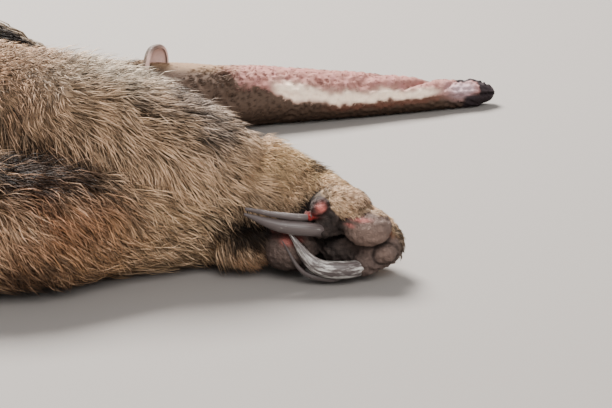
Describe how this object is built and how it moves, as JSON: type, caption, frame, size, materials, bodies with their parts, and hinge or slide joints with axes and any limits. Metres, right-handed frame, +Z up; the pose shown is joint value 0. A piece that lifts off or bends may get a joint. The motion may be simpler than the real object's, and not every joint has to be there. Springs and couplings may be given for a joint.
{
  "type": "giant anteater",
  "caption": "Life-size still model of a giant anteater lying on its left side, long snout and brushy tail laid out flat, forepaw folded with its claws across the palm.",
  "frame": {"origin": "on the floor under the middle of the trunk, at the flat where the left flank rests", "axes": "+X towards the head, -Y towards the belly and feet, +Z up out of the right flank"},
  "size_m": [2.2141, 0.7585, 0.2411],
  "materials": {
    "face_coat": "short dark fur with a worn, mauve-pink upper cheek",
    "ear_skin": "bare pink skin inside, short fur outside",
    "eye": "wet black",
    "body_coat": "coarse grey-brown coat, black stripe edged white from throat to shoulder",
    "tail_coat": "long coarse brown hair",
    "foreleg_coat": "bristly buff coat with orange-brown and dark patches",
    "hindleg_coat": "coarse blackish coat",
    "paw_skin": "cracked grey-brown pads, buff fur on the back of the hand",
    "claw": "worn grey keratin with silver patches"
  },
  "bodies": {
    "root": {"head": "face_coat", "ear_right": "ear_skin", "ear_left": "ear_skin", "eye_right": "eye", "eye_left": "eye", "neck": "body_coat", "chest": "body_coat", "torso": "body_coat", "rump": "body_coat", "tail_base": "tail_coat", "tail_middle": "tail_coat", "tail_end": "tail_coat", "upper_arm_left": "foreleg_coat", "forearm_left": "foreleg_coat", "forepaw_left": "paw_skin", "claw_left_fore_1": "claw", "claw_left_fore_2": "claw", "claw_left_fore_3": "claw", "claw_left_fore_4": "claw", "upper_arm_right": "foreleg_coat", "forearm_right": "foreleg_coat", "forepaw_right": "paw_skin", "claw_right_fore_1": "claw", "claw_right_fore_2": "claw", "claw_right_fore_3": "claw", "claw_right_fore_4": "claw", "thigh_left": "hindleg_coat", "shank_left": "hindleg_coat", "hind_foot_left": "hindleg_coat", "hind_claw_left_1": "claw", "hind_claw_left_2": "claw", "hind_claw_left_3": "claw", "hind_claw_left_4": "claw", "hind_claw_left_5": "claw", "thigh_right": "hindleg_coat", "shank_right": "hindleg_coat", "hind_foot_right": "hindleg_coat", "hind_claw_right_1": "claw", "hind_claw_right_2": "claw", "hind_claw_right_3": "claw", "hind_claw_right_4": "claw", "hind_claw_right_5": "claw"}
  },
  "joints": []
}
